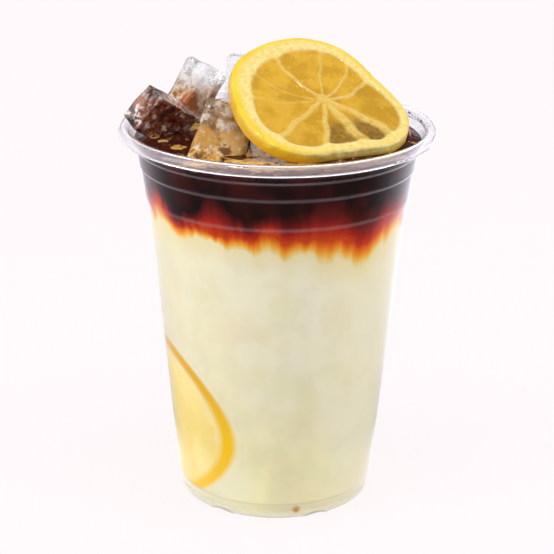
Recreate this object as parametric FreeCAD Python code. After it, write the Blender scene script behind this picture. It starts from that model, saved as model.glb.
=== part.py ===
import FreeCAD, Part
import math
import os

# Iced lemon espresso in a clear plastic takeaway cup.
# Millimetres. The cup stands on z = 0 and is round about the Z axis.
# The side that faces -Y is the front.

# Cup: overall sizes
cup_height = 120.0
wall = 0.55
foot_radius = 30.2
cone_low_radius = 31.2
mouth_radius = 45.3

# Cup: foot
heel_height = 5.4
heel_groove = 0.3
floor_radius = 27.2
floor_rise = 5.0
floor_edge_lean = 0.9
foot_notch_count = 6
foot_notch_depth = 0.7
foot_notch_round = 9.0
foot_notch_turn = 26.0

# Cup: stepped bands below the rim
ledge_drop = 25.0
ledge_height = 3.4
ledge_step = 0.9
lower_band_flare = 1.2
lower_ring_drop = 12.4
lower_ring_step = 0.5
upper_band_flare = 0.7
upper_ring_drop = 6.8
upper_ring_step = 0.6
throat_flare = 1.85
ring_height = 0.8

# Cup: rolled rim
rim_width = 3.7
rim_roll_angle = 245.0

# Drink
free_height = 4.5
layer_drop = 27.0
layer_wave = 2.6
layer_wave_count = 5
layer_swirl = 1.7

# Lemon slices
slice_radius = 27.5
slice_thickness = 4.3
slice_bevel = 0.8
slice_edge_round = 0.8
slice_three_lobe = 0.065
slice_four_lobe = 0.043
top_slice_centre = (11.4, -5.0)
top_slice_dip = 2.34
top_slice_tilt = 28.1
top_slice_heading = 27.7
sunk_slice_thickness = 4.0
sunk_slice_heading = 75.0
sunk_slice_press = 6.0
sunk_slice_bend = 0.975
sunk_slice_floor_gap = 0.4

# Ice: corner radius, and three sizes for each block
ice_round = 2.2
ice_left_size = (20.0, 14.0, 9.0)
ice_tall_size = (12.0, 20.5, 11.5)
ice_back_size = (20.0, 20.0, 12.0)
ice_front_size = (17.0, 26.0, 15.0)
ice_low_size = (20.0, 12.0, 6.5)
ice_right_size = (11.6, 8.0, 7.0)


def vec(x, y, z):
    return FreeCAD.Vector(x, y, z)


def wall_stations():
    # Outside radius, height and corner rounding, from the foot to the rim.
    ledge = cup_height - ledge_drop
    lower = cup_height - lower_ring_drop
    upper = cup_height - upper_ring_drop
    throat = cup_height - rim_width / 2
    r_throat = mouth_radius + wall - throat_flare
    r_upper = r_throat - upper_ring_step
    r_ring = r_upper - upper_band_flare
    r_band = r_ring - lower_ring_step
    r_ledge = r_band - lower_band_flare
    r_cone = r_ledge - ledge_step
    points = []
    points.append((foot_radius, 0.0, 0.8))
    points.append((cone_low_radius - heel_groove, heel_height - 0.6, 0.5))
    points.append((cone_low_radius, heel_height, 0.5))
    points.append((r_cone, ledge, 2.0))
    points.append((r_ledge, ledge + ledge_height, 2.0))
    points.append((r_band, lower - ring_height / 2, 0.5))
    points.append((r_ring, lower + ring_height / 2, 0.5))
    points.append((r_upper, upper - ring_height / 2, 0.5))
    points.append((r_throat, upper + ring_height / 2, 0.5))
    points.append((mouth_radius + wall, throat, 0.0))
    return points


def rounded_edges(points):
    # Straight runs joined by tangent arcs in the XZ plane.
    edges = []
    last = vec(points[0][0], 0, points[0][1])
    for i in range(1, len(points)):
        here = vec(points[i][0], 0, points[i][1])
        size = points[i][2]
        if i == len(points) - 1 or size <= 0:
            edges.append(Part.LineSegment(last, here).toShape())
            last = here
            continue
        after = vec(points[i + 1][0], 0, points[i + 1][1])
        back = (last - here).normalize()
        ahead = (after - here).normalize()
        turn = math.pi - back.getAngle(ahead)
        if turn < 0.01:
            continue
        reach = size * math.tan(turn / 2)
        room = 0.45 * min((last - here).Length, (after - here).Length)
        reach = min(reach, room)
        size = reach / math.tan(turn / 2)
        start = here + back * reach
        end = here + ahead * reach
        mid_way = (back + ahead).normalize()
        depth = size / math.cos(turn / 2) - size
        middle = here + mid_way * depth
        edges.append(Part.LineSegment(last, start).toShape())
        edges.append(Part.Arc(start, middle, end).toShape())
        last = end
    return edges


def rim_point(radius, angle):
    # A point on the rolled rim's circle; 180 degrees is the mouth side.
    centre_r = mouth_radius + rim_width / 2
    centre_z = cup_height - rim_width / 2
    a = math.radians(angle)
    return vec(centre_r + radius * math.cos(a), 0, centre_z + radius * math.sin(a))


def inner_points():
    # The inside line of the cup, from the middle of the floor to the throat.
    points = [(0.0, floor_rise, 0.0)]
    points.append((floor_radius, floor_rise, 0.6))
    points.append((floor_radius + floor_edge_lean, wall, 0.25))
    for r, z, size in wall_stations()[:-1]:
        z_in = max(z, wall)
        points.append((r - wall, z_in, max(size, 0.3)))
    points.append((mouth_radius, cup_height - rim_width / 2, 0.0))
    return points


def outer_points():
    # The outside line of the cup, from the throat down to the floor's middle.
    points = [(r, z, size) for r, z, size in reversed(wall_stations())]
    points.append((floor_radius + floor_edge_lean - wall, 0.0, 0.4))
    points.append((floor_radius - wall, floor_rise - wall, 0.4))
    points.append((0.0, floor_rise - wall, 0.0))
    return points


def rim_edges():
    # Over the rim and back, closing the rolled edge at its free end.
    big = rim_width / 2
    small = big - wall
    end = 180.0 - rim_roll_angle
    top = (180.0 + end) / 2
    over = Part.Arc(rim_point(big, 180), rim_point(big, top), rim_point(big, end))
    lip = Part.LineSegment(rim_point(big, end), rim_point(small, end))
    under = Part.Arc(rim_point(small, end), rim_point(small, top), rim_point(small, 180))
    return [over.toShape(), lip.toShape(), under.toShape()]


def spin(edges):
    face = Part.Face(Part.Wire(Part.__sortEdges__(edges)))
    solid = face.revolve(vec(0, 0, 0), vec(0, 0, 1), 360)
    return solid


def notch_bars(radius):
    # Round bars that press the shallow notches into the foot.
    bars = []
    for i in range(foot_notch_count):
        angle = 270 + foot_notch_turn + i * 360.0 / foot_notch_count
        bar = Part.makeCylinder(radius, foot_radius, vec(0, 0, 0), vec(1, 0, 0))
        bar.translate(vec(floor_radius - 6, 0, foot_notch_depth - foot_notch_round))
        bar.rotate(vec(0, 0, 0), vec(0, 0, 1), angle)
        bars.append(bar)
    return Part.makeCompound(bars)


def foot_block():
    # Everything between the foot's two walls, used to trim the notch skins.
    ring_in = floor_radius + floor_edge_lean - wall / 2
    ring_out = foot_radius - wall / 4
    outer = Part.makeCylinder(ring_out, foot_notch_depth + 2 * wall)
    inner = Part.makeCylinder(ring_in, foot_notch_depth + 2 * wall)
    return outer.cut(inner)


def make_cup():
    inside = rounded_edges(inner_points())
    outside = rounded_edges(outer_points())
    axis = Part.LineSegment(vec(0, 0, floor_rise - wall), vec(0, 0, floor_rise))
    cup = spin(inside + rim_edges() + outside + [axis.toShape()])
    skins = notch_bars(foot_notch_round + wall).cut(notch_bars(foot_notch_round))
    skins = skins.common(foot_block())
    cup = cup.cut(notch_bars(foot_notch_round))
    return cup.fuse(skins).removeSplitter()


def drink_column(level):
    # All the space inside the cup up to the given height.
    edges = rounded_edges(inner_points())
    top = cup_height - rim_width / 2
    edges.append(Part.LineSegment(vec(mouth_radius, 0, top), vec(0, 0, top)).toShape())
    edges.append(Part.LineSegment(vec(0, 0, top), vec(0, 0, floor_rise)).toShape())
    column = spin(edges)
    column = column.cut(notch_bars(foot_notch_round + wall))
    lid = Part.makeBox(120, 120, 40, vec(-60, -60, level))
    return column.cut(lid)


def layer_height(x, y):
    # Height of the line between the two drinks.
    angle = math.atan2(y, x)
    reach = min(1.0, math.hypot(x, y) / mouth_radius)
    wave = layer_wave * math.sin(layer_wave_count * angle + 0.6)
    swirl = layer_swirl * math.sin((2 * layer_wave_count - 1) * angle + 2.1)
    return cup_height - layer_drop + reach * reach * (wave + swirl)


def layer_block():
    # Everything above the wavy line between the drinks.
    half = mouth_radius + 4
    steps = 24
    rows = []
    for i in range(steps + 1):
        row = []
        for j in range(steps + 1):
            x = -half + 2 * half * i / steps
            y = -half + 2 * half * j / steps
            row.append(vec(x, y, layer_height(x, y)))
        rows.append(row)
    surface = Part.BSplineSurface()
    surface.interpolate(rows)
    return surface.toShape().extrude(vec(0, 0, layer_drop + 20))


def slice_outline(radius, height):
    # A lemon's uneven round, as one closed smooth curve.
    points = []
    steps = 36
    for i in range(steps):
        angle = 2 * math.pi * i / steps
        three = slice_three_lobe * math.cos(3 * angle + math.radians(112))
        four = slice_four_lobe * math.cos(4 * angle + math.radians(161.5))
        reach = radius * (1 + three + four)
        points.append(vec(reach * math.cos(angle), reach * math.sin(angle), height))
    curve = Part.BSplineCurve()
    curve.interpolate(points, PeriodicFlag=True)
    return Part.Wire([curve.toShape()])


def cut_slice(radius, thickness):
    # Cut off the lemon's middle, so the rind leans in towards the upper face.
    wide = slice_outline(radius, -thickness)
    narrow = slice_outline(radius - slice_bevel, 0)
    disc = Part.makeLoft([wide, narrow], True, True)
    rims = []
    for edge in disc.Edges:
        if edge.BoundBox.ZLength < 0.01:
            rims.append(edge)
    return disc.makeFillet(slice_edge_round, rims)


def make_top_slice():
    # Lies across the ice, its low edge just in the drink.
    disc = cut_slice(slice_radius, slice_thickness)
    disc.rotate(vec(0, 0, 0), vec(1, 0, 0), top_slice_tilt)
    disc.rotate(vec(0, 0, 0), vec(0, 0, 1), top_slice_heading)
    lean = math.radians(top_slice_tilt)
    low_edge = cup_height - free_height - top_slice_dip
    rise = slice_radius * math.sin(lean) + slice_thickness * math.cos(lean)
    x, y = top_slice_centre
    disc.translate(vec(x, y, low_edge + rise))
    return disc


def make_sunk_slice(column):
    # Bent round the inside of the wall, standing on the floor.
    core = column.copy()
    angle = math.radians(270 - sunk_slice_heading)
    inward = vec(-math.cos(angle), -math.sin(angle), 0)
    core.translate(inward * sunk_slice_thickness)
    shell = column.cut(core)
    tall = slice_radius
    wide = slice_radius * sunk_slice_bend
    oval = Part.Ellipse(vec(0, 0, 0), tall, wide)
    face = Part.Face(Part.Wire([oval.toShape()]))
    prism = face.extrude(vec(0, 0, 80))
    prism.rotate(vec(0, 0, 0), vec(0, 1, 0), 90)
    prism.rotate(vec(0, 0, 0), vec(0, 0, 1), 270 - sunk_slice_heading)
    prism.translate(vec(0, 0, floor_rise + slice_radius - sunk_slice_press))
    low = floor_rise + sunk_slice_floor_gap
    keep = Part.makeBox(200, 200, cup_height, vec(-100, -100, low))
    return shell.common(prism).common(keep)


def ice_block(corner, along, down, size):
    # A rounded block from its nearest top corner and two of its edges.
    # The corner is a heading, a gap in from the mouth and a rise above the rim.
    block = Part.makeBox(size[0], size[1], size[2])
    block = block.makeFillet(ice_round, block.Edges)
    first = vec(*along).normalize()
    third = first.cross(vec(*down)).normalize()
    second = third.cross(first)
    heading, gap, rise = corner
    x = (mouth_radius - gap) * math.cos(math.radians(heading))
    y = (mouth_radius - gap) * math.sin(math.radians(heading))
    place = FreeCAD.Matrix(
        first.x, second.x, third.x, x,
        first.y, second.y, third.y, y,
        first.z, second.z, third.z, cup_height + rise,
        0, 0, 0, 1)
    block.Placement = FreeCAD.Placement(place)
    return block


def make_ice():
    # Corners are given from the mouth and the rim's top, so the heap fits its cup.
    ice = {}
    ice["ice_left"] = ice_block(
        (189.65, 9.49, 9.2), (0.590, 0.632, -0.503), (-0.637, -0.020, -0.771), ice_left_size)
    ice["ice_tall"] = ice_block(
        (142.38, 17.78, 15.0), (0.574, 0.640, -0.511), (-0.469, -0.252, -0.847), ice_tall_size)
    ice["ice_back"] = ice_block(
        (121.80, 15.88, 15.8), (1.0, 0.15, -0.1), (0.1, -0.1, -1.0), ice_back_size)
    ice["ice_front"] = ice_block(
        (198.03, 22.69, 11.3), (1.0, -0.05, -0.3), (-5.5, -17.0, -15.0), ice_front_size)
    ice["ice_low"] = ice_block(
        (237.23, 5.58, -1.2), (1.0, -0.08, -0.09), (0.0, -0.15, -0.9), ice_low_size)
    ice["ice_right"] = ice_block(
        (1.91, 15.28, -3.4), (1.0, 0.10, 0.17), (-0.30, 0.0, -1.0), ice_right_size)
    return ice


def save(name, shape):
    shape.exportStep("parts/" + name + ".step")


def main():
    os.makedirs("parts", exist_ok=True)
    cup = make_cup()
    level = cup_height - free_height
    column = drink_column(level)
    sunk = make_sunk_slice(column)
    top = make_top_slice()
    ice = make_ice()
    above = layer_block()
    lemonade = column.cut(above).cut(sunk)
    espresso = column.common(above).cut(top)
    for block in ice.values():
        espresso = espresso.cut(block)
    save("cup", cup)
    save("lemonade", lemonade)
    save("espresso", espresso)
    save("lemon_slice_top", top)
    save("lemon_slice_sunk", sunk)
    for name in ice:
        save(name, ice[name])


main()
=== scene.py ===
import math

import bmesh
import bpy
import numpy as np
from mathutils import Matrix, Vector, noise


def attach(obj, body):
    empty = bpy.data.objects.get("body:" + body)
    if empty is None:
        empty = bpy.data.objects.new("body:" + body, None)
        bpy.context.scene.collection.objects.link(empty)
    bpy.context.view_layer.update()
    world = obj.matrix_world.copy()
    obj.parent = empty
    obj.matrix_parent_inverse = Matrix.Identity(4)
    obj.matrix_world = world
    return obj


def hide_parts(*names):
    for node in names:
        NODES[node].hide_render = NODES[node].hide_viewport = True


bl_info = {
    "name": "Iced Lemon Espresso",
    "version": (1, 0, 0),
    "blender": (4, 5, 0),
    "location": "3D View > Sidebar > Iced Drink",
    "description": "Dresses the cup, the two drinks, the ice and the lemon slices",
    "category": "Object",
}

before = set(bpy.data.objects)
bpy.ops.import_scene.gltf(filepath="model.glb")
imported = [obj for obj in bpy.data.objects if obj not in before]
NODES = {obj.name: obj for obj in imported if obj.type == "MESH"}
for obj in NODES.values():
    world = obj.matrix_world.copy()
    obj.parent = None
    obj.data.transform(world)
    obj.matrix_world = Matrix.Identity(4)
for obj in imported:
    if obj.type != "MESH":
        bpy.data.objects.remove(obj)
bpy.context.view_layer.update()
MM = 0.001


def rgb(red, green, blue):
    """Screen values from 0 to 255 as the linear colour that shaders take."""
    def linear(value):
        level = value / 255
        return level / 12.92 if level <= 0.04045 else ((level + 0.055) / 1.055) ** 2.4
    return (linear(red), linear(green), linear(blue), 1.0)


# ---------------------------------------------------------------- settings

def length(name, text, default, low=0.0, high=0.2):
    return bpy.props.FloatProperty(
        name=name, description=text, default=default, min=low, max=high,
        subtype="DISTANCE", unit="LENGTH", precision=5)


def colour(name, text, red, green, blue):
    return bpy.props.FloatVectorProperty(
        name=name, description=text, default=rgb(red, green, blue), size=4,
        min=0.0, max=1.0, subtype="COLOR")


def share(name, text, default, high=1.0):
    return bpy.props.FloatProperty(
        name=name, description=text, default=default, min=0.0, max=high, subtype="FACTOR")


class CupSettings(bpy.types.PropertyGroup):
    tint: colour("Plastic tint", "Colour of the clear plastic", 250, 251, 255)
    haze: share("Surface haze", "Roughness of the moulded plastic", 0.035)
    # Cloudiness of the rim and foot, and strength of the painted highlights on the ring steps.
    milk: share("Milky edges", "How cloudy the rim and the ring steps are", 0.16)


class DrinkSettings(bpy.types.PropertyGroup):
    seat: length("Seat in the wall", "How far the drinks reach into the wall", 0.00022)
    drip_depth: length("Drip depth", "How far coffee drips hang down", 0.0042)
    lemonade: colour("Lemonade", "Cloudy lemonade at the middle of the cup", 240, 234, 198)
    lemonade_low: colour("Lemonade at the foot", "Lemonade near the floor", 244, 240, 184)
    lemonade_ice: colour("Ice in the lemonade", "Pale patches of sunk ice", 236, 235, 214)
    espresso: colour("Espresso", "Coffee at the wall", 30, 11, 9)


class IceSettings(bpy.types.PropertyGroup):
    dent: length("Hollow", "How far the faces sink in", 0.00045)
    ripple: length("Ripple", "Height of the melted ripples", 0.00035)
    clear: colour("Clear ice", "Colour of the clear parts", 246, 249, 252)


class LemonSettings(bpy.types.PropertyGroup):
    zest_width: length("Zest", "Width of the yellow outer skin", 0.0016)
    pith_width: length("Pith", "Width of the pale ring inside the zest", 0.0024)
    ring_shift: length("Ring shift", "How much wider the ring is on one side", 0.0016)
    membrane: length("Membrane", "Half width of the walls between segments", 0.00032)
    flesh_sink: length("Flesh sink", "How far the flesh lies below the rind", 0.0005)
    zest: colour("Zest colour", "Yellow skin", 243, 205, 42)
    pith: colour("Pith colour", "Pale ring", 238, 208, 108)
    flesh: colour("Flesh colour", "Wet pulp", 224, 175, 52)
    membrane_colour: colour("Membrane colour", "Walls between segments", 234, 198, 104)


class StageSettings(bpy.types.PropertyGroup):
    floor_size: length("Floor size", "Half width of the floor", 6.0, 0.5, 20.0)
    backdrop: colour("Backdrop", "Pale studio background", 255, 249, 251)
    lens: bpy.props.FloatProperty(
        name="Lens", description="Camera lens", default=117.1, min=20, max=300, unit="CAMERA")


SETTINGS = (
    ("iced_cup", CupSettings), ("iced_drink", DrinkSettings), ("iced_ice", IceSettings),
    ("iced_lemon", LemonSettings), ("iced_stage", StageSettings))


# ------------------------------------------------------------ node helpers

class Recipe:
    """A material's node tree, built one step at a time."""

    def __init__(self, name):
        self.material = bpy.data.materials.new(name)
        self.material.use_nodes = True
        self.tree = self.material.node_tree
        self.tree.nodes.clear()
        self.out = self.tree.nodes.new("ShaderNodeOutputMaterial")

    def node(self, kind, **settings):
        made = self.tree.nodes.new("ShaderNode" + kind)
        for key, value in settings.items():
            setattr(made, key, value)
        return made

    def feed(self, socket, value):
        if isinstance(value, bpy.types.NodeSocket):
            self.tree.links.new(value, socket)
        elif value is not None:
            socket.default_value = value

    def place(self, scale=(1, 1, 1), shift=(0, 0, 0)):
        where = self.node("TexCoord").outputs["Object"]
        made = self.node("Mapping")
        made.inputs["Scale"].default_value = scale
        made.inputs["Location"].default_value = shift
        self.feed(made.inputs["Vector"], where)
        return made.outputs["Vector"]

    def noise(self, vector, scale, detail=2.0, rough=0.5):
        made = self.node("TexNoise")
        self.feed(made.inputs["Vector"], vector)
        made.inputs["Scale"].default_value = scale
        made.inputs["Detail"].default_value = detail
        made.inputs["Roughness"].default_value = rough
        return made.outputs["Fac"]

    def cells(self, vector, scale, kind="F1"):
        made = self.node("TexVoronoi", feature=kind)
        self.feed(made.inputs["Vector"], vector)
        made.inputs["Scale"].default_value = scale
        return made.outputs["Distance"]

    def calc(self, kind, first, second=0.5, third=None):
        made = self.node("Math", operation=kind)
        self.feed(made.inputs[0], first)
        self.feed(made.inputs[1], second)
        if third is not None:
            self.feed(made.inputs[2], third)
        return made.outputs[0]

    def band(self, value, low, high, to_low=0.0, to_high=1.0, smooth=True):
        made = self.node("MapRange", interpolation_type="SMOOTHSTEP" if smooth else "LINEAR")
        self.feed(made.inputs["Value"], value)
        for key, number in (("From Min", low), ("From Max", high),
                            ("To Min", to_low), ("To Max", to_high)):
            self.feed(made.inputs[key], number)
        return made.outputs["Result"]

    def ramp(self, value, stops):
        made = self.node("ValToRGB")
        points = made.color_ramp.elements
        while len(points) < len(stops):
            points.new(0.5)
        for point, (at, shade) in zip(points, stops):
            point.position = at
            point.color = shade
        self.feed(made.inputs["Fac"], value)
        return made.outputs["Color"]

    def mix(self, factor, first, second):
        made = self.node("Mix", data_type="RGBA")
        self.feed(made.inputs["Factor"], factor)
        self.feed(made.inputs[6], first)
        self.feed(made.inputs[7], second)
        return made.outputs[2]

    def tinted(self, shade, mask, amount, tint):
        """Lays a tint over a shade, as strong as the mask times the amount."""
        return self.mix(self.calc("MULTIPLY", mask, amount), shade, tint)

    def split(self, vector):
        made = self.node("SeparateXYZ")
        self.feed(made.inputs[0], vector)
        return made.outputs

    def near(self, where, centre, inner, outer):
        """1 within inner metres of a point, 0 beyond outer."""
        made = self.node("VectorMath", operation="DISTANCE")
        self.feed(made.inputs[0], where)
        made.inputs[1].default_value = centre
        return self.band(made.outputs["Value"], inner, outer, 1.0, 0.0)

    def attribute(self, name, out="Fac"):
        made = self.node("Attribute", attribute_name=name)
        return made.outputs[out]

    def bump(self, height, distance, strength=1.0, under=None):
        made = self.node("Bump")
        made.inputs["Strength"].default_value = strength
        made.inputs["Distance"].default_value = distance
        self.feed(made.inputs["Height"], height)
        if under is not None:
            self.feed(made.inputs["Normal"], under)
        return made.outputs["Normal"]

    def skin(self, colour, roughness, normal=None, **fixed):
        made = self.node("BsdfPrincipled")
        self.feed(made.inputs["Base Color"], colour)
        self.feed(made.inputs["Roughness"], roughness)
        if normal is not None:
            self.feed(made.inputs["Normal"], normal)
        for key, value in fixed.items():
            made.inputs[key.replace("_", " ")].default_value = value
        return made.outputs["BSDF"]

    def blend(self, factor, first, second):
        made = self.node("MixShader")
        self.feed(made.inputs[0], factor)
        self.feed(made.inputs[1], first)
        self.feed(made.inputs[2], second)
        return made.outputs[0]

    def lit_through(self, shader):
        """Lets lamps shine through clear walls."""
        open_air = self.node("BsdfTransparent")
        path = self.node("LightPath")
        return self.blend(path.outputs["Is Shadow Ray"], shader, open_air.outputs[0])

    def done(self, shader):
        self.feed(self.out.inputs["Surface"], shader)
        return self.material


# ------------------------------------------------------------ mesh helpers

def new_piece(name, mesh, slot, *stands_for):
    """Adds a piece that stands for CAD nodes."""
    piece = bpy.data.objects.new(name, mesh)
    bpy.context.scene.collection.objects.link(piece)
    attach(piece, "root")
    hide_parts(*stands_for)
    return piece


def dress(piece, material):
    piece.data.materials.clear()
    piece.data.materials.append(material)


def smooth(mesh):
    mesh.polygons.foreach_set("use_smooth", np.ones(len(mesh.polygons), bool))
    mesh.update()


def node_points(name):
    """A node's corners as rows of x, y and z."""
    mesh = NODES[name].data
    points = np.zeros(len(mesh.vertices) * 3, np.float32)
    mesh.vertices.foreach_get("co", points)
    return points.reshape(-1, 3).astype(float)


def face_directions(name):
    """The directions that a node's flat faces look in, largest first."""
    mesh = NODES[name].data
    normals = np.zeros(len(mesh.polygons) * 3, np.float32)
    areas = np.zeros(len(mesh.polygons), np.float32)
    mesh.polygons.foreach_get("normal", normals)
    mesh.polygons.foreach_get("area", areas)
    keys, which = np.unique(normals.reshape(-1, 3).round(3), axis=0, return_inverse=True)
    total = np.bincount(which.ravel(), areas)
    found = keys[np.argsort(-total)]
    return found / np.linalg.norm(found, axis=1)[:, None]


# Heights between which the drinks touch the cup's wall.
WALL_LOW, WALL_HIGH = 0.0016, 0.1155


def wall_radius(z):
    """Inside radius of the cup at a height, from the drinks that fill it."""
    return np.interp(z, WALL[:, 0], WALL[:, 1])


def measure_wall():
    """Heights and inside radii of the cup, one pair a millimetre."""
    points = np.vstack([node_points("lemonade"), node_points("espresso")])
    reach = np.hypot(points[:, 0], points[:, 1])
    rows = []
    for low in np.arange(WALL_LOW, WALL_HIGH, MM):
        inside = (points[:, 2] >= low - 0.0006) & (points[:, 2] < low + 0.0016)
        if inside.any():
            top = np.argmax(np.where(inside, reach, 0))
            rows.append((points[top, 2], reach[top]))
    rows.sort()
    return np.array(rows)


WALL = measure_wall()
SURFACE = float(node_points("espresso")[:, 2].max())


# ------------------------------------------------------------------- looks

# Where coffee meets lemonade: the heights in millimetres at which yellow, red
# and near black begin, and how each shifts and waves round the back, which
# sets in between two headings in degrees.
MEETING = (91.0, 95.5, 103.0)
BACK_SHIFT = (-1.8, -0.2, 1.5)
BACK_WAVE = (1.6, 1.4, 1.8)
BACK_WAVE_COUNT, BACK_WAVE_CREST = 10, 98
BACK_STARTS, BACK_FULL = 58, 74
# Tongues of coffee: heading from the front and half width in degrees, then how
# many millimetres the yellow, red and near-black lines rise there.
TONGUES = (
    (-168, 8, 1.6, 0.9, 0.5), (-136, 8, 1.2, 0.8, 0.0), (-90, 30, 3.0, 2.0, 1.0),
    (-74, 7, 0.9, 1.2, -0.8), (-62, 7, 3.0, 4.0, 2.0), (-46, 6, 0.0, 0.0, -2.5),
    (-36, 5, 3.0, 2.0, -1.0), (-27, 6, 2.0, 0.0, 5.0), (-11, 6, -0.5, -1.5, -3.5),
    (-8, 3, -1.3, 0.0, 0.0), (-3, 3, 0.0, 1.8, 0.0), (5, 5, -2.7, -1.5, 0.0),
    (22, 6, -4.5, -1.0, 0.0), (22, 9, 0.0, 0.0, 6.5), (40, 10, -7.5, -4.5, 0.0),
    (56, 8, -2.0, 0.0, 1.0), (116, 9, 0.8, 0.5, 0.0), (180, 7, -1.0, -0.5, -1.5))
YELLOW, RED, BLACK = 0, 1, 2
# The heights that the curves span and the degrees from point to point.
CURVE_LOW, CURVE_HIGH = 0.080, 0.115
CURVE_STEP = 4


def meeting_at(line, turn):
    """Height of one of the three lines at a heading in degrees."""
    back = min(max((abs(turn) - BACK_STARTS) / (BACK_FULL - BACK_STARTS), 0), 1)
    wave = math.cos(math.radians(BACK_WAVE_COUNT * (turn - BACK_WAVE_CREST)))
    rise = back * (BACK_SHIFT[line] + BACK_WAVE[line] * wave)
    for at, width, *rises in TONGUES:
        away = (turn - at + 180) % 360 - 180
        rise += rises[line] * math.exp(-(away / width) ** 2)
    return (MEETING[line] + rise) * MM


def meeting_height(recipe, heading, line):
    """One of the three lines as a curve over a heading from 0 to 1."""
    made = recipe.node("FloatCurve")
    curve = made.mapping.curves[0]
    points = [((turn + 180) / 360,
               (meeting_at(line, turn) - CURVE_LOW) / (CURVE_HIGH - CURVE_LOW))
              for turn in range(-180, 181, CURVE_STEP)]
    for spot, place in zip(curve.points, (points[0], points[-1])):
        spot.location = place
    for x, y in points[1:-1]:
        curve.points.new(x, y)
    made.mapping.update()
    recipe.feed(made.inputs["Value"], heading)
    return recipe.band(made.outputs[0], 0.0, 1.0, CURVE_LOW, CURVE_HIGH, smooth=False)


# The small amber mark near the foot: on the wall, and in the drink behind it.
MARK_ON_WALL, MARK_BEHIND = (0.0069, -0.0304, 0.0028), (0.0068, -0.0300, 0.0028)
MARK_RINGS = ((0.0019, (214, 160, 66)), (0.0010, (132, 78, 28)))


def lemonade_colour(recipe, settings, where, z):
    """Cloudy lemonade over sunk ice, with painted shade darkening it where the wall turns away.
    """
    shade = recipe.mix(recipe.band(z, 0.002, 0.040), tuple(settings.lemonade_low),
                       tuple(settings.lemonade))
    cloud = recipe.noise(recipe.place((1, 1, 0.8), (0.2, 0.4, 0.1)), 34, 2.0, 0.5)
    ice = recipe.band(cloud, 0.38, 0.66)
    shade = recipe.tinted(shade, ice, 0.62, tuple(settings.lemonade_ice))
    fleck = recipe.band(recipe.noise(recipe.place((1, 1, 0.9)), 110, 3.0, 0.6), 0.48, 0.70)
    shade = recipe.tinted(shade, fleck, 0.20, rgb(208, 202, 172))
    mark = recipe.near(where, MARK_BEHIND, 0.0008, 0.0021)
    shade = recipe.tinted(shade, mark, 0.75, rgb(222, 174, 78))
    for shift, scale, tint in (((0.4, 0, 0.3), 58, (232, 217, 178)),
                               ((0, 0.6, 0.1), 66, (226, 224, 176))):
        cloud = recipe.noise(recipe.place((1, 1, 0.9), shift), scale, 2.0)
        shade = recipe.tinted(shade, recipe.band(cloud, 0.50, 0.66), 0.45, rgb(*tint))
    # Painted shade: the lemonade is darkened towards a dull tone where its side turns away from
    # view.
    painted_edge_shade = recipe.band(recipe.node("LayerWeight").outputs["Facing"], 0.02, 0.34)
    return recipe.tinted(shade, painted_edge_shade, 0.85, rgb(221, 215, 188))


def drink_colour(recipe, settings):
    """The drinks' shared colour by height, so that the blend runs across both."""
    where = recipe.place()
    x, y, z = recipe.split(where)
    heading = recipe.calc("ARCTAN2", x, recipe.calc("MULTIPLY", y, -1.0))
    heading = recipe.band(heading, -math.pi, math.pi, smooth=False)
    streaks = recipe.noise(recipe.place((1, 1, 0.13)), 240, 3.0, 0.6)
    broad = recipe.noise(recipe.place((1, 1, 0.5), (0.31, 0.12, 0)), 110, 3.0, 0.6)
    drip = recipe.calc("MULTIPLY_ADD", streaks, settings.drip_depth * 1.3,
                      recipe.calc("MULTIPLY", broad, settings.drip_depth * 1.1))
    level = recipe.calc("ADD", z, recipe.calc("SUBTRACT", drip, settings.drip_depth * 1.2))
    pale, red, dark = (meeting_height(recipe, heading, line) for line in (YELLOW, RED, BLACK))
    first = recipe.band(level, pale, red, smooth=False)
    swirl = recipe.noise(recipe.place((1, 1, 0.6), (0, 0.5, 0)), 90, 3.0, 0.6)
    swirl = recipe.calc("MULTIPLY_ADD", swirl, 0.006, -0.003)
    second = recipe.band(recipe.calc("ADD", level, swirl), red, dark, smooth=False)
    blend = recipe.calc("MULTIPLY_ADD", first, 0.42, recipe.calc("MULTIPLY", second, 0.58))
    coffee = recipe.ramp(blend, (
        (0.0, rgb(226, 214, 166)), (0.08, rgb(230, 208, 138)), (0.16, rgb(231, 184, 82)),
        (0.25, rgb(229, 146, 44)), (0.34, rgb(216, 106, 32)), (0.43, rgb(196, 66, 32)),
        (0.55, rgb(170, 44, 28)), (0.68, rgb(128, 31, 23)), (0.82, rgb(80, 21, 17)),
        (1.0, tuple(settings.espresso))))
    body = lemonade_colour(recipe, settings, where, z)
    halo = recipe.band(level, recipe.calc("ADD", pale, -0.0065), pale, smooth=False)
    body = recipe.tinted(body, halo, 0.6, rgb(228, 214, 164))
    start = recipe.band(blend, 0.0, 0.06)
    return recipe.mix(start, body, coffee), where, z


# Golden foam floating on the coffee: x, y and reach.
FOAM = ((-0.0400, 0.0028, 0.0026), (-0.0380, -0.0010, 0.0024), (-0.0350, -0.0055, 0.0024),
        (-0.0300, -0.0125, 0.0036), (-0.0050, -0.0300, 0.0110), (-0.0230, -0.0300, 0.0080),
        (0.0060, -0.0280, 0.0090), (-0.0052, -0.0172, 0.0086), (0.0040, -0.0220, 0.0060),
        (-0.0270, 0.0120, 0.0070), (0.0300, 0.0060, 0.0060), (0.0080, 0.0330, 0.0080))


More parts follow.
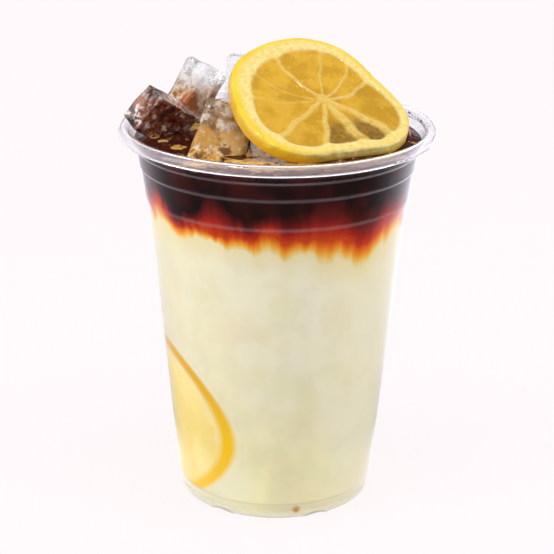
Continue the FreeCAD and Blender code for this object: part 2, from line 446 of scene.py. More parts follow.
def drink_material(settings, name):
    """A drink: the shared colour, dark wet coffee on top with golden foam, and a painted glow
    that lifts the lowest few millimetres.
    """
    recipe = Recipe(name)
    shade, where, z = drink_colour(recipe, settings)
    pools = recipe.calc("MULTIPLY", recipe.noise(where, 30, 1.0), 0.2)
    for x, y, size in FOAM:
        pool = recipe.near(where, (x, y, SURFACE), size * 0.4, size)
        pools = recipe.calc("MAXIMUM", pools, pool)
    froth = recipe.calc("MULTIPLY_ADD", pools, 0.24, recipe.noise(where, 420, 4.0, 0.65))
    foam = recipe.calc("MULTIPLY", recipe.band(froth, 0.62, 0.69), 0.9)
    at_top = recipe.band(z, SURFACE - 0.0007, SURFACE - 0.0002)
    deep = recipe.noise(recipe.place((1, 1, 0.6), (0.02, 0.3, 0)), 70, 2.0)
    deep = recipe.calc("MULTIPLY", recipe.band(deep, 0.42, 0.68), recipe.band(z, 0.098, 0.103))
    shade = recipe.tinted(shade, deep, 0.65, rgb(84, 26, 22))
    top = recipe.mix(recipe.noise(where, 60, 2.0), rgb(30, 11, 9), rgb(74, 27, 18))
    shade = recipe.mix(at_top, shade, top)
    shade = recipe.mix(recipe.calc("MULTIPLY", foam, at_top), shade, rgb(206, 158, 84))
    ripple = recipe.bump(recipe.noise(where, 90, 1.0), 0.0006, 0.5)
    rough = recipe.band(at_top, 0.0, 1.0, 0.6, 0.10)
    liquid = recipe.skin(shade, rough, ripple, IOR=1.33, Specular_IOR_Level=0.12)
    # Painted light: over its lowest few millimetres the drink glows in its own colour, which
    # lifts the shade under the cup's floor.
    glow = recipe.node("Emission")
    recipe.feed(glow.inputs["Color"], shade)
    return recipe.done(recipe.blend(recipe.band(z, 0.0008, 0.0035, 0.7, 0.0), liquid,
                                    glow.outputs[0]))


# Heights over which the rim and the foot turn milky; at the foot the milk is also painted light
# that lifts the shade in the notches.
RIM_MILK, FOOT_MILK_AND_LIFT = (0.1140, 0.1170), (0.0012, 0.0040)
# Painted highlights on the steps in the wall, laid on as milky plastic: height and half breadth.
RING_HIGHLIGHTS = ((0.0984, 0.0010), (0.1077, 0.0010), (0.1132, 0.0009))


def plastic_material(settings):
    """Clear thin plastic, cloudy where the wall is bent or thick, with painted highlights on the
    ring steps.
    """
    recipe = Recipe("clear_plastic")
    where = recipe.place()
    flow = recipe.noise(recipe.place((1, 1, 0.3)), 60, 2.0)
    rough = recipe.band(flow, 0.3, 0.7, settings.haze * 0.6, settings.haze * 1.4)
    wave = recipe.bump(recipe.noise(where, 45, 1.0), 0.0004, 0.12)
    clear = recipe.skin(tuple(settings.tint), rough, wave, IOR=1.42, Transmission_Weight=1.0,
                        Specular_IOR_Level=0.16)
    z = recipe.split(where)[2]
    cloud_and_highlight = recipe.band(z, *RIM_MILK, 0.0, settings.milk * 0.45)
    # Painted highlights: pale mauve milky bands along the ring steps.
    for height, reach in RING_HIGHLIGHTS:
        away = recipe.calc("ABSOLUTE", recipe.calc("SUBTRACT", z, height))
        cloud_and_highlight = recipe.calc("MAXIMUM", cloud_and_highlight, recipe.band(away, 0.0001, reach,
                                                         settings.milk * 0.55, 0.0))
    # The milky foot: partly cloudy plastic, partly painted light lifting the shade.
    cloud_and_highlight = recipe.calc("MAXIMUM", cloud_and_highlight, recipe.band(z, *FOOT_MILK_AND_LIFT, 0.34, 0.0))
    # Colour of the milky layer: pale cream at the foot, pale mauve above, where it paints the
    # ring highlights.
    pale = recipe.mix(recipe.band(z, 0.004, 0.008), rgb(244, 240, 224), rgb(226, 206, 212))
    for reach, tint in MARK_RINGS:
        spot = recipe.near(where, MARK_ON_WALL, reach * 0.4, reach)
        cloud_and_highlight = recipe.calc("MAXIMUM", cloud_and_highlight, recipe.calc("MULTIPLY", spot, 0.8))
        pale = recipe.mix(spot, pale, rgb(*tint))
    soft = recipe.skin(pale, 0.4, wave)
    return recipe.done(recipe.lit_through(recipe.blend(cloud_and_highlight, clear, soft)))


def ice_material(name, settings, stains_and_highlights, amount, where_from, seed, frosted, haze,
                 shine, patches):
    """Clear ice with coffee caught in its cracks and hollows, and painted light: dark coffee seen
    through the ice and pale highlights are painted into the stain colours.
    """
    recipe = Recipe(name)
    where = recipe.place(shift=(seed, seed * 0.7, 0))
    z = recipe.split(recipe.place())[2]
    marble = recipe.noise(where, 330, 5.0, 0.66)
    veins = recipe.cells(where, 320, "DISTANCE_TO_EDGE")
    cloud = recipe.noise(where, 95, 2.0, 0.5)
    low = recipe.band(z, where_from[0], where_from[1], 1.0, 0.0)
    mask = recipe.calc("MULTIPLY_ADD", cloud, 0.9, recipe.calc("MULTIPLY", low, 0.55))
    mask = recipe.band(mask, amount, amount + 0.22)
    # Stain colours that also carry painted see-through coffee and painted highlights.
    shade = recipe.ramp(marble, stains_and_highlights)
    for spot, size, tint in patches:
        away = recipe.node("VectorMath", operation="DISTANCE")
        recipe.feed(away.inputs[0], recipe.place())
        away.inputs[1].default_value = spot
        ragged = recipe.calc("MULTIPLY_ADD", recipe.calc("SUBTRACT", marble, 0.5), size * 3.2,
                            away.outputs["Value"])
        close = recipe.band(ragged, size * 0.45, size, 1.0, 0.0)
        shade = recipe.mix(close, shade, rgb(*tint))
        mask = recipe.calc("MAXIMUM", mask, close)
    rough = recipe.band(marble, 0.3, 0.7, 0.02, 0.16)
    bumps = recipe.bump(marble, 0.0009, 0.7)
    bumps = recipe.bump(recipe.band(veins, 0.0, 0.08), 0.0003, 0.12, bumps)
    clear = recipe.skin(tuple(settings.clear), rough, bumps, IOR=1.31, Transmission_Weight=1.0)
    dull = recipe.calc("ADD", rough, (1.0 - shine) * 0.45)
    stained_and_highlit = recipe.skin(shade, dull, bumps, IOR=1.45, Coat_Weight=shine, Coat_Roughness=0.03,
                          Specular_IOR_Level=0.5 * shine)
    frost = recipe.skin(rgb(*haze), 0.12, bumps)
    white = recipe.band(marble, 0.43, 0.61)
    body = recipe.blend(recipe.calc("MULTIPLY", white, frosted), clear, frost)
    body = recipe.blend(recipe.calc("MULTIPLY", mask, 0.92), body, stained_and_highlit)
    return recipe.done(recipe.lit_through(body))


def lemon_material(settings):
    """Rind, pith, membranes and wet pulp from the slice's own zones."""
    recipe = Recipe("lemon")
    where = recipe.place()
    zest = recipe.attribute("zest")
    pith = recipe.attribute("pith")
    wall = recipe.attribute("membrane")
    dark = recipe.attribute("soaked")
    pulp = recipe.attribute("pulp", "Vector")
    cells = recipe.cells(pulp, 1.0, "SMOOTH_F1")
    fine = recipe.noise(where, 700, 3.0, 0.6)
    broad = recipe.noise(where, 130, 2.0, 0.5)
    flesh = recipe.ramp(cells, (
        (0.0, rgb(226, 180, 60)), (0.45, tuple(settings.flesh)), (1.0, rgb(216, 170, 58))))
    flesh = recipe.mix(recipe.band(broad, 0.38, 0.62), flesh, rgb(205, 156, 38))
    grain = recipe.band(fine, 0.60, 0.72)
    flesh = recipe.tinted(flesh, grain, 0.45, rgb(244, 216, 130))
    soak = recipe.mix(recipe.band(fine, 0.35, 0.65), rgb(112, 80, 28), rgb(150, 112, 46))
    flesh = recipe.tinted(flesh, dark, 0.9, soak)
    edge = recipe.calc("MULTIPLY", wall, recipe.band(fine, 0.25, 0.6, 0.55, 1.0))
    shade = recipe.mix(edge, flesh, tuple(settings.membrane_colour))
    ring = recipe.mix(recipe.band(fine, 0.3, 0.7), tuple(settings.pith), rgb(244, 228, 160))
    shade = recipe.mix(pith, shade, ring)
    skin = recipe.mix(recipe.band(broad, 0.3, 0.7), tuple(settings.zest), rgb(246, 216, 66))
    skin = recipe.mix(recipe.attribute("under"), skin, rgb(238, 182, 30))
    shade = recipe.mix(zest, shade, skin)
    pores = recipe.band(recipe.cells(where, 900), 0.0, 0.35)
    height = recipe.calc("MULTIPLY", pores, zest)
    bumps = recipe.bump(height, 0.00025, 0.6)
    wet = recipe.calc("MULTIPLY", cells, recipe.calc("SUBTRACT", 1.0, pith))
    bumps = recipe.bump(wet, 0.0005, 0.4, bumps)
    bumps = recipe.bump(recipe.noise(where, 420, 2.0, 0.6), 0.0008, 0.55, bumps)
    rough = recipe.band(pith, 0.0, 1.0, 0.10, 0.34)
    rough = recipe.calc("ADD", rough, recipe.calc("MULTIPLY", fine, 0.10))
    return recipe.done(recipe.skin(
        shade, rough, bumps, IOR=1.38, Coat_Weight=0.35, Coat_Roughness=0.08,
        Subsurface_Weight=0.12, Subsurface_Scale=0.002))


def sunk_material(drink):
    """The slice behind the wall, softened by the cloudy drink."""
    recipe = Recipe("sunk_lemon")
    shade, where, z = drink_colour(recipe, drink)
    broad = recipe.noise(where, 90, 2.0, 0.5)
    flesh = recipe.mix(recipe.band(broad, 0.35, 0.65), rgb(236, 216, 132), rgb(240, 224, 154))
    flesh = recipe.tinted(flesh, recipe.attribute("membrane"), 0.12, rgb(238, 226, 170))
    flesh = recipe.mix(recipe.attribute("pith"), flesh, rgb(234, 222, 168))
    rind = recipe.mix(recipe.band(z, 0.022, 0.050), rgb(240, 198, 22), rgb(222, 176, 46))
    flesh = recipe.mix(recipe.attribute("zest"), flesh, rind)
    shade = recipe.mix(recipe.attribute("shown"), shade, flesh)
    return recipe.done(recipe.skin(shade, recipe.band(broad, 0.3, 0.7, 0.5, 0.65), IOR=1.33))


# ------------------------------------------------------------------ pieces

# How near to the wall a corner of a drink or of the sunk slice counts as on it.
TOUCHING, SLICE_TOUCHING = 0.0002, 0.0004


def filled_to_wall(name, seat):
    """A copy of a drink whose side reaches just into the wall."""
    mesh = NODES[name].data.copy()
    mesh.name = name + "_fill"
    points = node_points(name)
    reach = np.hypot(points[:, 0], points[:, 1])
    at_wall = (reach > wall_radius(points[:, 2]) - TOUCHING) & (points[:, 2] > 0.0012)
    grown = np.where(at_wall, (reach + seat) / np.maximum(reach, 1e-6), 1.0)
    points[:, 0] *= grown
    points[:, 1] *= grown
    points[:, 2] -= np.where(points[:, 2] < 0.0007, seat, 0.0)
    mesh.vertices.foreach_set("co", points.astype(np.float32).ravel())
    mesh.update()
    return mesh


def block_frame(name):
    """Centre, axes and half sizes of an ice block, from its flat faces."""
    axes = []
    for normal in face_directions(name):
        if all(abs(normal @ axis) < 0.05 for axis in axes):
            axes.append(normal)
        if len(axes) == 3:
            break
    axes = np.array(axes)
    if np.linalg.det(axes) < 0:
        axes[2] *= -1
    local = node_points(name) @ axes.T
    low, high = local.min(0), local.max(0)
    return ((low + high) / 2) @ axes, axes, (high - low) / 2


def ice_mesh(name, settings, seed, corner):
    """A block with rounded corners, hollowed faces and melted ripples."""
    centre, axes, half = block_frame(name)
    bm = bmesh.new()
    bmesh.ops.create_cube(bm, size=2.0)
    bmesh.ops.subdivide_edges(bm, edges=bm.edges[:], cuts=31, use_grid_fill=True)
    inner = np.maximum(half - corner, 0.0005)
    drift = Vector((seed * 3.1, seed * 1.7, seed * 0.9))
    for vertex in bm.verts:
        u = np.array(vertex.co)
        flat = u * half
        core = np.clip(flat, -inner, inner)
        away = flat - core
        size = np.linalg.norm(away)
        if size > 1e-9:
            away = away / size * corner
        point = core + away
        side = int(np.argmax(np.abs(u)))
        others = [i for i in range(3) if i != side]
        hollow = (1 - u[others[0]] ** 2) * (1 - u[others[1]] ** 2)
        normal = away / corner if size > 1e-9 else np.sign(u) * (np.arange(3) == side)
        wave = noise.noise(Vector(point * 190) + drift) * settings.ripple
        wave += noise.noise(Vector(point * 75) - drift) * settings.ripple * 1.6
        point = point + normal * (wave - settings.dent * hollow - settings.ripple * 0.9)
        vertex.co = Vector(centre + point @ axes)
    mesh = bpy.data.meshes.new(name + "_melted")
    bm.to_mesh(mesh)
    bm.free()
    smooth(mesh)
    return mesh


# Walls between the segments: angle near the hub, angle near the pith, breadth.
# Then how soaked with coffee each segment is.
MEMBRANES = (
    (-176, -192, 0.4), (-144, -144, 1.3), (-108, -108, 1.3), (-75, -75, 2.4), (-44, -49, 2.0),
    (-3, 16, 0.9), (27, 39, 0.8), (68, 62, 0.7), (118, 105, 1.0), (160, 135, 0.4))
SOAKED = (0, 0.1, 0.9, 1.0, 0.15, 0, 0, 0, 0, 0)


def turned_under(angle):
    """How far the rind turns away under the slice's low side at an angle."""
    return np.clip(np.cos(angle + math.radians(62)) * 1.6 - 0.3, 0, 1)


def slice_zones(share_out, angle, reach, lemon):
    """What part of the slice lies at a share of the way out along an angle."""
    gap = (1 - share_out) * reach
    table = np.array(MEMBRANES, float)
    bend = np.clip((share_out[..., None] - 0.3) / 0.5, -0.6, 1.2)
    lines = np.radians(table[:, 0] + (table[:, 1] - table[:, 0]) * bend)
    lines = lines + 0.022 * np.sin(share_out[..., None] * 17 + np.arange(len(table)) * 2.1)
    turn = (angle[..., None] - lines + math.pi) % (2 * math.pi) - math.pi
    off = np.abs(turn) * (share_out * reach)[..., None] / table[:, 2].clip(0.7)
    nearest = off.argmin(-1)
    distance = off.min(-1)
    breadth = table[nearest, 2]
    half = lemon.membrane * (0.7 + 1.0 * share_out)
    wall = 1 - np.clip((distance - half) / 0.0006, 0, 1)
    wall = wall * np.clip(breadth * 1.1, 0, 1)
    hub = 1 - np.clip((share_out * reach - 0.0014) / 0.0016, 0, 1)
    wall = np.maximum(wall, hub)
    corner = np.exp(-(distance / 0.0018) ** 2) * np.clip(breadth, 0.3, 1.2)
    ring = lemon.pith_width - lemon.ring_shift * np.cos(angle + math.radians(70))
    edge = lemon.zest_width + ring + 0.0009 * corner
    pith = 1 - np.clip((gap - edge) / 0.0010, 0, 1)
    zest = 1 - np.clip((gap - lemon.zest_width + 0.0006) / 0.0018, 0, 1)
    zest = zest * (1 - 0.8 * turned_under(angle))
    side = np.take_along_axis(turn, nearest[..., None], -1)[..., 0]
    segment = np.where(side > 0, nearest, (nearest - 1) % len(MEMBRANES))
    depth = np.clip((share_out - 0.34) / 0.22, 0, 1)
    soaked = np.array(SOAKED)[segment] * depth
    out = share_out * reach
    pulp = np.stack([side * out * 1150 + segment * 7.3, out * 230, segment * 3.7 + 0 * reach], -1)
    return wall, pith, zest, soaked, pulp


# Where the segments meet, off the top slice's middle.
SLICE_HUB = (0.0018, -0.0006)


def slice_outline(name, centre, axes, angles):
    """The slice's reach at each angle, from its solid."""
    local = (node_points(name) - centre) @ axes.T
    around = np.arctan2(local[:, 1], local[:, 0])
    out = np.hypot(local[:, 0], local[:, 1])
    bins = np.linspace(-math.pi, math.pi, 181)
    best = np.zeros(180)
    np.maximum.at(best, np.clip(np.digitize(around, bins) - 1, 0, 179), out)
    middle = (bins[:-1] + bins[1:]) / 2
    known = best > best.max() * 0.8
    return np.interp(angles, middle[known], best[known], period=2 * math.pi)


def grid_mesh(name, rows):
    """Joins rings of points into one skin; each ring is (n, 3)."""
    rings, count = len(rows), len(rows[0])
    points = np.vstack(rows)
    faces = []
    for i in range(rings - 1):
        a, b = i * count, (i + 1) * count
        for j in range(count):
            k = (j + 1) % count
            faces.append((a + j, a + k, b + k, b + j))
    mesh = bpy.data.meshes.new(name)
    mesh.from_pydata([tuple(p) for p in points], [], faces)
    mesh.validate()
    smooth(mesh)
    return mesh


def add_values(mesh, **values):
    for name, numbers in values.items():
        vector = numbers.ndim == 2
        made = mesh.attributes.new(name, "FLOAT_VECTOR" if vector else "FLOAT", "POINT")
        made.data.foreach_set("vector" if vector else "value",
                              np.ascontiguousarray(numbers, np.float32).ravel())


def top_slice_mesh(lemon):
    """The slice on top: sunk pulp, a rough rounded rind and the cut underside."""
    name = "lemon_slice_top"
    normal = next(n for n in face_directions(name) if n[2] > 0.3)
    side = np.cross((0, 0, 1), normal)
    side /= np.linalg.norm(side)
    axes = np.array([side, np.cross(normal, side), normal])
    points = node_points(name)
    heights = points @ normal
    centre = points[heights > heights.max() - 0.0001].mean(0)
    centre += normal * (heights.max() - centre @ normal)
    thick = heights.max() - heights.min()
    count = 300
    angles = np.linspace(-math.pi, math.pi, count, endpoint=False)
    reach = slice_outline(name, centre, axes, angles)
    front = reach - 0.0005
    hub = np.array(SLICE_HUB)
    shares = np.concatenate([np.linspace(0.0, 0.78, 66), np.linspace(0.788, 1.0, 26)])
    s, a = np.meshgrid(shares, angles, indexing="ij")
    r = np.broadcast_to(front, s.shape)
    wall, pith, zest, soaked, pulp = slice_zones(s, a, r, lemon)
    flat = np.stack([s * r * np.cos(a) + hub[0] * (1 - s),
                     s * r * np.sin(a) + hub[1] * (1 - s)], -1)
    grain = np.array([[noise.noise(Vector((p[0] * 0.9, p[1] * 0.8, p[2])))
                       for p in row] for row in pulp])
    swell = np.array([[noise.noise(Vector((q[0] * 160, q[1] * 160, 2.0))) for q in row]
                      for row in flat])
    sink = -lemon.flesh_sink * (1 - np.maximum(pith, wall * 0.85))
    lift = sink + 0.00022 * grain * (1 - np.maximum(pith, wall)) + 0.00018 * swell
    lift -= 0.00045 * np.clip((s - 0.965) / 0.035, 0, 1) ** 2
    rows, marks = [], []
    for i in range(len(shares)):
        local = np.column_stack([flat[i], lift[i]])
        rows.append(centre + local @ axes)
        marks.append((wall[i], pith[i], zest[i], soaked[i], pulp[i], 0 * a[i]))
    one = np.ones(count)
    rough_skin = np.array([noise.noise(Vector((math.cos(t) * 9, math.sin(t) * 9, 0.5)))
                           for t in angles]) * 0.00035
    for depth, out in ((0.0006, 0.2), (0.0013, 0.45), (0.0021, 0.7), (0.0029, 0.88),
                       (0.0036, 1.0), (thick - 0.0005, 1.0), (thick, 0.985),
                       (thick + 0.0002, 0.95)):
        size = front + (reach - front) * out
        size = size + rough_skin * math.sin(min(depth / thick, 1) * math.pi)
        if out < 1.0 and depth > 0.004:
            size = reach * out
        local = np.column_stack([size * np.cos(angles), size * np.sin(angles),
                                 -min(depth, thick) * one])
        rows.append(centre + local @ axes)
        low = turned_under(angles)
        skin = np.clip((depth - 0.0022 * low) / 0.0008 + (1 - low), 0, 1)
        marks.append((0 * one, one, skin, 0 * one, pulp[-1],
                      np.clip((depth - 0.0010 * low) / 0.0025, 0, 1)))
    for share_out in np.linspace(0.93, 0.0, 34):
        zones = [zone[0] for zone in slice_zones(
            np.full((1, count), share_out), angles[None], reach[None], lemon)]
        local = np.column_stack([
            share_out * reach * np.cos(angles) + hub[0] * (1 - share_out),
            share_out * reach * np.sin(angles) + hub[1] * (1 - share_out),
            -thick + lemon.flesh_sink * (1 - np.maximum(zones[1], zones[0] * 0.85))])
        rows.append(centre + local @ axes)
        marks.append((*zones, 0 * one))
    mesh = grid_mesh("lemon_slice_top_cut", rows)
    names = ("membrane", "pith", "zest", "soaked", "pulp", "under")
    add_values(mesh, **{key: np.concatenate([m[i] for m in marks])
                        for i, key in enumerate(names)})
    return mesh


def sunk_slice_mesh(lemon, seat):
    """The sunk slice's face, bent to the wall and reaching just into it."""
    name = "lemon_slice_sunk"
    points = node_points(name)
    reach = np.hypot(points[:, 0], points[:, 1])
    outer = points[reach > wall_radius(points[:, 2]) - SLICE_TOUCHING]
    heading = np.array([outer[:, 0].mean(), outer[:, 1].mean()])
    heading /= np.linalg.norm(heading)
    tangent = np.array([-heading[1], heading[0]])
    across = outer[:, :2] @ tangent
    wide = (across.max() - across.min()) / 2
    mid = (across.max() + across.min()) / 2
    top, floor = outer[:, 2].max(), outer[:, 2].min()
    tall = wide / 0.975
    height = top - tall
    count = 260
    angles = np.linspace(-math.pi, math.pi, count, endpoint=False)
    shares = np.concatenate([np.linspace(0.0, 0.76, 50), np.linspace(0.77, 1.035, 34)])
    rows, marks = [], []
    for share_out in shares:
        x = mid + share_out * wide * np.cos(angles)
        level = np.maximum(height + share_out * tall * np.sin(angles), floor + 0.0001)
        side = (x - mid) / (wide - 0.0006)
        rise = (level - height - 0.0011) / (tall - 0.0016)
        out = np.hypot(side, rise)
        s = np.minimum(out, 1.0)
        wall, pith = slice_zones(s[None], np.arctan2(rise, side)[None] + 0.35,
                                 np.full((1, count), tall), lemon)[:2]
        zest = 1 - np.clip(((1 - s) * tall - 0.0024) / 0.0020, 0, 1)
        radius = wall_radius(level) + seat + 0.00004
        forward = np.sqrt(np.maximum(radius ** 2 - x ** 2, 0))
        flat = forward[:, None] * heading + x[:, None] * tangent
        rows.append(np.column_stack([flat, level]))
        shown = np.clip((1.03 - out) / 0.05, 0, 1)
        marks.append((wall[0], pith[0], zest, shown))
    last = rows[-1]
    inward = last.copy()
    inward[:, :2] *= (1 - 0.0012 / np.hypot(last[:, 0], last[:, 1]))[:, None]
    rows.append(inward)
    marks.append(marks[-1])
    mesh = grid_mesh("lemon_slice_sunk_cut", rows)
    rim = (len(shares) - 1) * count
    sharp = mesh.attributes.new("sharp_edge", "BOOLEAN", "EDGE")
    sharp.data.foreach_set("value", [rim <= min(e.vertices) and max(e.vertices) < rim + count
                                     for e in mesh.edges])
    for i, key in enumerate(("membrane", "pith", "zest", "shown")):
        add_values(mesh, **{key: np.concatenate([m[i] for m in marks])})
    return mesh


# --------------------------------------------------------------- operators

class ICED_OT_cup(bpy.types.Operator):
    """Give the thin cup its clear moulded plastic"""
    bl_idname = "iced.cup"
    bl_label = "Cup"

    def execute(self, context):
        cup = NODES["cup"]
        dress(cup, plastic_material(context.scene.iced_cup))
        smooth(cup.data)
        return {"FINISHED"}


class ICED_OT_drinks(bpy.types.Operator):
    """Pour the espresso over the lemonade, both just into the wall"""
    bl_idname = "iced.drinks"
    bl_label = "Drinks"

    def execute(self, context):
        settings = context.scene.iced_drink
        for name in ("lemonade", "espresso"):
            piece = new_piece(name + "_poured", filled_to_wall(name, settings.seat), name, name)
            dress(piece, drink_material(settings, name))
        return {"FINISHED"}


# Kind of stain, how much stays clear, the heights it fades over, rounding.
ICE_KINDS = {
    "ice_left": ("dark", 0.46, (0.112, 0.140), 0.0012),
    "ice_tall": ("speck", 0.58, (0.116, 0.134), 0.0026),
    "ice_back": ("clear", 0.86, (0.112, 0.124), 0.0028),
    "ice_front": ("gold", 0.64, (0.1155, 0.1235), 0.0024),
    "ice_low": ("foam", 0.02, (0.112, 0.125), 0.0022),
    "ice_right": ("amber", 0.40, (0.112, 0.124), 0.0018)}
# Stains caught on a block: place, size and colour.
ICE_PATCHES = {
    "ice_left": (((-0.0428, -0.001, 0.1272), 0.0034, (150, 78, 26)),
                 ((-0.0450, -0.003, 0.1225), 0.0042, (36, 16, 14)),
                 ((-0.0400, -0.008, 0.1330), 0.0036, (52, 24, 18))),
    "ice_tall": (((-0.0277, 0.014, 0.1225), 0.0058, (176, 88, 14)),
                 ((-0.0335, 0.008, 0.1280), 0.0046, (122, 66, 34)),
                 ((-0.0351, 0.0064, 0.1255), 0.0036, (62, 28, 18)),
                 ((-0.0282, 0.0118, 0.1310), 0.0040, (206, 168, 122)),
                 ((-0.0225, 0.0155, 0.1368), 0.0024, (84, 52, 50)),
                 ((-0.0265, 0.0125, 0.1372), 0.0026, (196, 160, 120))),
    "ice_front": (((-0.0245, -0.0147, 0.1246), 0.0024, (112, 70, 28)),
                  ((-0.0222, -0.0172, 0.1192), 0.0050, (206, 152, 66)),
                  ((-0.0128, -0.0172, 0.1185), 0.0054, (216, 168, 88)),
                  ((-0.0185, -0.0150, 0.1232), 0.0020, (132, 92, 50)),
                  ((-0.0160, -0.0200, 0.1170), 0.0026, (124, 78, 32))),
    "ice_low": (((-0.0135, -0.0345, 0.1165), 0.0013, (60, 30, 14)),
                ((-0.0175, -0.0345, 0.1160), 0.0008, (70, 36, 16)))}
# How strong and what colour the frost is, and how much the stains shine.
ICE_FROST = {
    "dark": (0.55, (232, 222, 218), 1.0), "speck": (0.55, (240, 243, 248), 1.0),
    "clear": (0.45, (240, 243, 248), 1.0), "gold": (0.80, (226, 212, 198), 0.8),
    "foam": (0.1, (232, 200, 140), 0.1), "amber": (0.4, (236, 214, 200), 1.0)}
# Colours of the stains along the marbling, from its darkest veins: the browns are partly coffee
# stains and partly coffee seen through the ice, painted in; the pale ends are painted highlights.
ICE_STAINS_AND_HIGHLIGHTS = {
    "dark": ((0.30, (24, 8, 7)), (0.40, (62, 20, 14)), (0.46, (112, 42, 24)),
             (0.49, (152, 70, 34)), (0.52, (84, 32, 24)), (0.57, (192, 150, 124)),
             (0.63, (242, 234, 230))),
    "speck": ((0.30, (52, 26, 20)), (0.42, (128, 74, 42)), (0.50, (204, 158, 110)),
              (0.58, (220, 200, 176)), (0.70, (240, 238, 240))),
    "amber": ((0.30, (70, 20, 12)), (0.42, (140, 48, 22)), (0.52, (196, 98, 46)),
              (0.60, (226, 160, 110)), (0.68, (240, 224, 210))),
    "foam": ((0.30, (46, 20, 14)), (0.42, (64, 30, 18)), (0.47, (190, 134, 62)),
             (0.54, (222, 172, 88)), (0.62, (232, 190, 108)), (0.74, (240, 214, 156))),
    "gold": ((0.34, (84, 46, 18)), (0.43, (150, 98, 42)), (0.50, (206, 154, 74)),
             (0.57, (230, 192, 124)), (0.66, (244, 226, 190))),
    "clear": ((0.30, (150, 140, 134)), (0.50, (204, 206, 214)), (0.70, (240, 242, 246)))}


class ICED_OT_ice(bpy.types.Operator):
    """Set the melting ice blocks in the top of the drink"""
    bl_idname = "iced.ice"
    bl_label = "Ice"

    def execute(self, context):
        settings = context.scene.iced_ice
        for seed, (name, plan) in enumerate(sorted(ICE_KINDS.items())):
            kind, amount, span, corner = plan
            piece = new_piece(name + "_melting", ice_mesh(name, settings, seed + 1, corner),
                              "ice", name)
            stains_and_highlights = [(at, rgb(*shade)) for at, shade in ICE_STAINS_AND_HIGHLIGHTS[kind]]
            dress(piece, ice_material(name, settings, stains_and_highlights, amount, span, seed * 0.37,
                                      *ICE_FROST[kind], ICE_PATCHES.get(name, ())))
        return {"FINISHED"}


class ICED_OT_lemon(bpy.types.Operator):
    """Cut the lemon slice on top and the one sunk at the wall"""
    bl_idname = "iced.lemon"
    bl_label = "Lemon slices"

    def execute(self, context):
        lemon, drink = context.scene.iced_lemon, context.scene.iced_drink
        top = new_piece("lemon_slice_top_cut", top_slice_mesh(lemon), "lemon", "lemon_slice_top")
        dress(top, lemon_material(lemon))
        sunk = new_piece("lemon_slice_sunk_cut", sunk_slice_mesh(lemon, drink.seat), "lemon",
                         "lemon_slice_sunk")
        dress(sunk, sunk_material(drink))
        return {"FINISHED"}


# Lamps: name, place, breadth and height, power, whether it lights matt
# surfaces and whether it shows in glossy ones.
LAMPS = (
    ("side_left", (-0.75, -0.25, 0.35), (0.5, 0.9), 3.8, True, True),
    ("side_right", (0.75, -0.15, 0.30), (0.6, 0.9), 2.7, True, True),
    ("overhead", (0.05, -0.25, 0.95), (0.9, 0.7), 4.5, True, False),
    ("behind", (0.1, 0.8, 0.5), (1.0, 0.6), 2.4, True, False),
    ("sparkle", (-0.30, -0.30, 0.85), (0.12, 0.12), 2.0, False, True))
LAMP_AIM = (0, 0, 0.08)
CAMERA_PLACE = (0.00014, -0.5386, 0.2604)
CAMERA_PITCH, CAMERA_ROLL = 19.486, 0.52


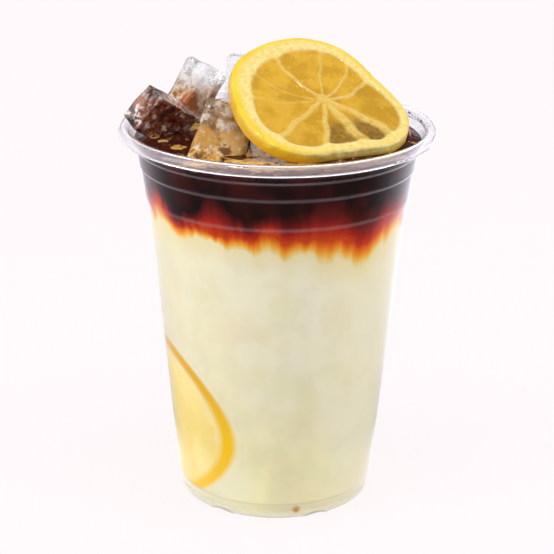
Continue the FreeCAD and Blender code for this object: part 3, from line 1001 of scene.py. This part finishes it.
class ICED_OT_stage(bpy.types.Operator):
    """Lay the pale floor, hang the soft lights and set the camera"""
    bl_idname = "iced.stage"
    bl_label = "Stage"

    def execute(self, context):
        settings = context.scene.iced_stage
        self.floor(settings)
        self.surround(context.scene, settings)
        self.lights()
        self.camera(context.scene, settings)
        context.scene.view_settings.view_transform = "Standard"
        return {"FINISHED"}

    def floor(self, settings):
        size = settings.floor_size
        mesh = bpy.data.meshes.new("floor")
        mesh.from_pydata([(-size, -size, 0), (size, -size, 0), (size, size, 0), (-size, size, 0)],
                         [], [(0, 1, 2, 3)])
        floor = bpy.data.objects.new("floor", mesh)
        bpy.context.scene.collection.objects.link(floor)
        recipe = Recipe("floor")
        grain = recipe.noise(recipe.place(), 40, 2.0)
        tone = recipe.mix(recipe.band(grain, 0.3, 0.7), rgb(246, 240, 242), rgb(248, 242, 244))
        x, y = recipe.split(recipe.place())[:2]
        path = recipe.node("LightPath").outputs
        matt = recipe.skin(tone, 0.9, IOR=1.2)
        sheen = recipe.node("Emission")
        sheen.inputs["Color"].default_value = (0.92, 0.90, 1.0, 1)
        side = recipe.band(x, -0.15, 0.15, 1.0, 1.7)
        recipe.feed(sheen.inputs["Strength"], recipe.calc(
            "MULTIPLY_ADD", recipe.band(y, -0.08, 0.22), side,
            recipe.calc("MAXIMUM", recipe.near(recipe.place(), (0, 0, 0), 0.036, 0.07), 0.06)))
        matt = recipe.blend(path["Is Glossy Ray"], matt, sheen.outputs[0])
        glow = recipe.node("Emission")
        glow.inputs["Color"].default_value = tuple(settings.backdrop)
        seen = recipe.calc("MAXIMUM", path["Is Camera Ray"], path["Is Transmission Ray"])
        close = recipe.near(recipe.place(), (0, 0, 0), 0.25, 0.9)
        far = recipe.band(close, 0.0, 1.0, 1.0, 0.9)
        mix = recipe.blend(recipe.calc("MULTIPLY", seen, far), matt, glow.outputs[0])
        floor.data.materials.append(recipe.done(mix))

    def surround(self, scene, settings):
        world = bpy.data.worlds.new("studio")
        scene.world = world
        world.use_nodes = True
        tree = world.node_tree
        tree.nodes.clear()
        link = tree.links.new
        out = tree.nodes.new("ShaderNodeOutputWorld")
        tent = tree.nodes.new("ShaderNodeBackground")
        tent.inputs["Color"].default_value = (1.0, 0.985, 0.975, 1)
        seen = tree.nodes.new("ShaderNodeBackground")
        seen.inputs["Color"].default_value = tuple(settings.backdrop)
        seen.inputs["Strength"].default_value = 1.0
        path = tree.nodes.new("ShaderNodeLightPath")
        shine = tree.nodes.new("ShaderNodeMapRange")
        link(path.outputs["Is Glossy Ray"], shine.inputs["Value"])
        shine.inputs["To Min"].default_value = 0.42
        shine.inputs["To Max"].default_value = 0.16
        link(shine.outputs[0], tent.inputs["Strength"])
        either = tree.nodes.new("ShaderNodeMath")
        either.operation = "MAXIMUM"
        link(path.outputs["Is Camera Ray"], either.inputs[0])
        link(path.outputs["Is Transmission Ray"], either.inputs[1])
        mix = tree.nodes.new("ShaderNodeMixShader")
        link(either.outputs[0], mix.inputs[0])
        link(tent.outputs[0], mix.inputs[1])
        link(seen.outputs[0], mix.inputs[2])
        link(mix.outputs[0], out.inputs["Surface"])

    def lights(self):
        for name, spot, size, power, soft, shiny in LAMPS:
            lamp = bpy.data.lights.new(name, "AREA")
            lamp.shape = "RECTANGLE"
            lamp.size, lamp.size_y = size
            lamp.energy = power
            lamp.color = (1.0, 0.99, 0.98)
            made = bpy.data.objects.new(name, lamp)
            bpy.context.scene.collection.objects.link(made)
            made.location = spot
            made.visible_diffuse = soft
            made.visible_glossy = shiny
            made.visible_transmission = soft
            aim = Vector(LAMP_AIM) - Vector(spot)
            made.rotation_euler = aim.to_track_quat("-Z", "Y").to_euler()

    def camera(self, scene, settings):
        lens = bpy.data.cameras.new("camera")
        lens.lens = settings.lens
        lens.sensor_width = 36.0
        lens.clip_start, lens.clip_end = 0.01, 50
        made = bpy.data.objects.new("camera", lens)
        scene.collection.objects.link(made)
        made.location = CAMERA_PLACE
        made.rotation_euler = (math.radians(90 - CAMERA_PITCH), 0, 0)
        made.rotation_euler.rotate_axis("Z", math.radians(CAMERA_ROLL))
        scene.camera = made


STEPS = (ICED_OT_cup, ICED_OT_drinks, ICED_OT_ice, ICED_OT_lemon, ICED_OT_stage)


class ICED_PT_panel(bpy.types.Panel):
    bl_idname = "ICED_PT_panel"
    bl_label = "Iced Drink"
    bl_space_type = "VIEW_3D"
    bl_region_type = "UI"
    bl_category = "Iced Drink"

    def draw(self, context):
        for step in STEPS:
            self.layout.operator(step.bl_idname)
        for name, group in SETTINGS:
            settings = getattr(context.scene, name)
            column = self.layout.column(heading=group.__name__)
            for key in group.__annotations__:
                column.prop(settings, key)


def register():
    for name, group in SETTINGS:
        bpy.utils.register_class(group)
        setattr(bpy.types.Scene, name, bpy.props.PointerProperty(type=group))
    for step in STEPS + (ICED_PT_panel,):
        bpy.utils.register_class(step)


def unregister():
    for step in reversed(STEPS + (ICED_PT_panel,)):
        bpy.utils.unregister_class(step)
    for name, group in reversed(SETTINGS):
        delattr(bpy.types.Scene, name)
        bpy.utils.unregister_class(group)


def main():
    register()
    bpy.ops.iced.cup()
    bpy.ops.iced.drinks()
    bpy.ops.iced.ice()
    bpy.ops.iced.lemon()
    bpy.ops.iced.stage()


if __name__ == "__main__":
    main()
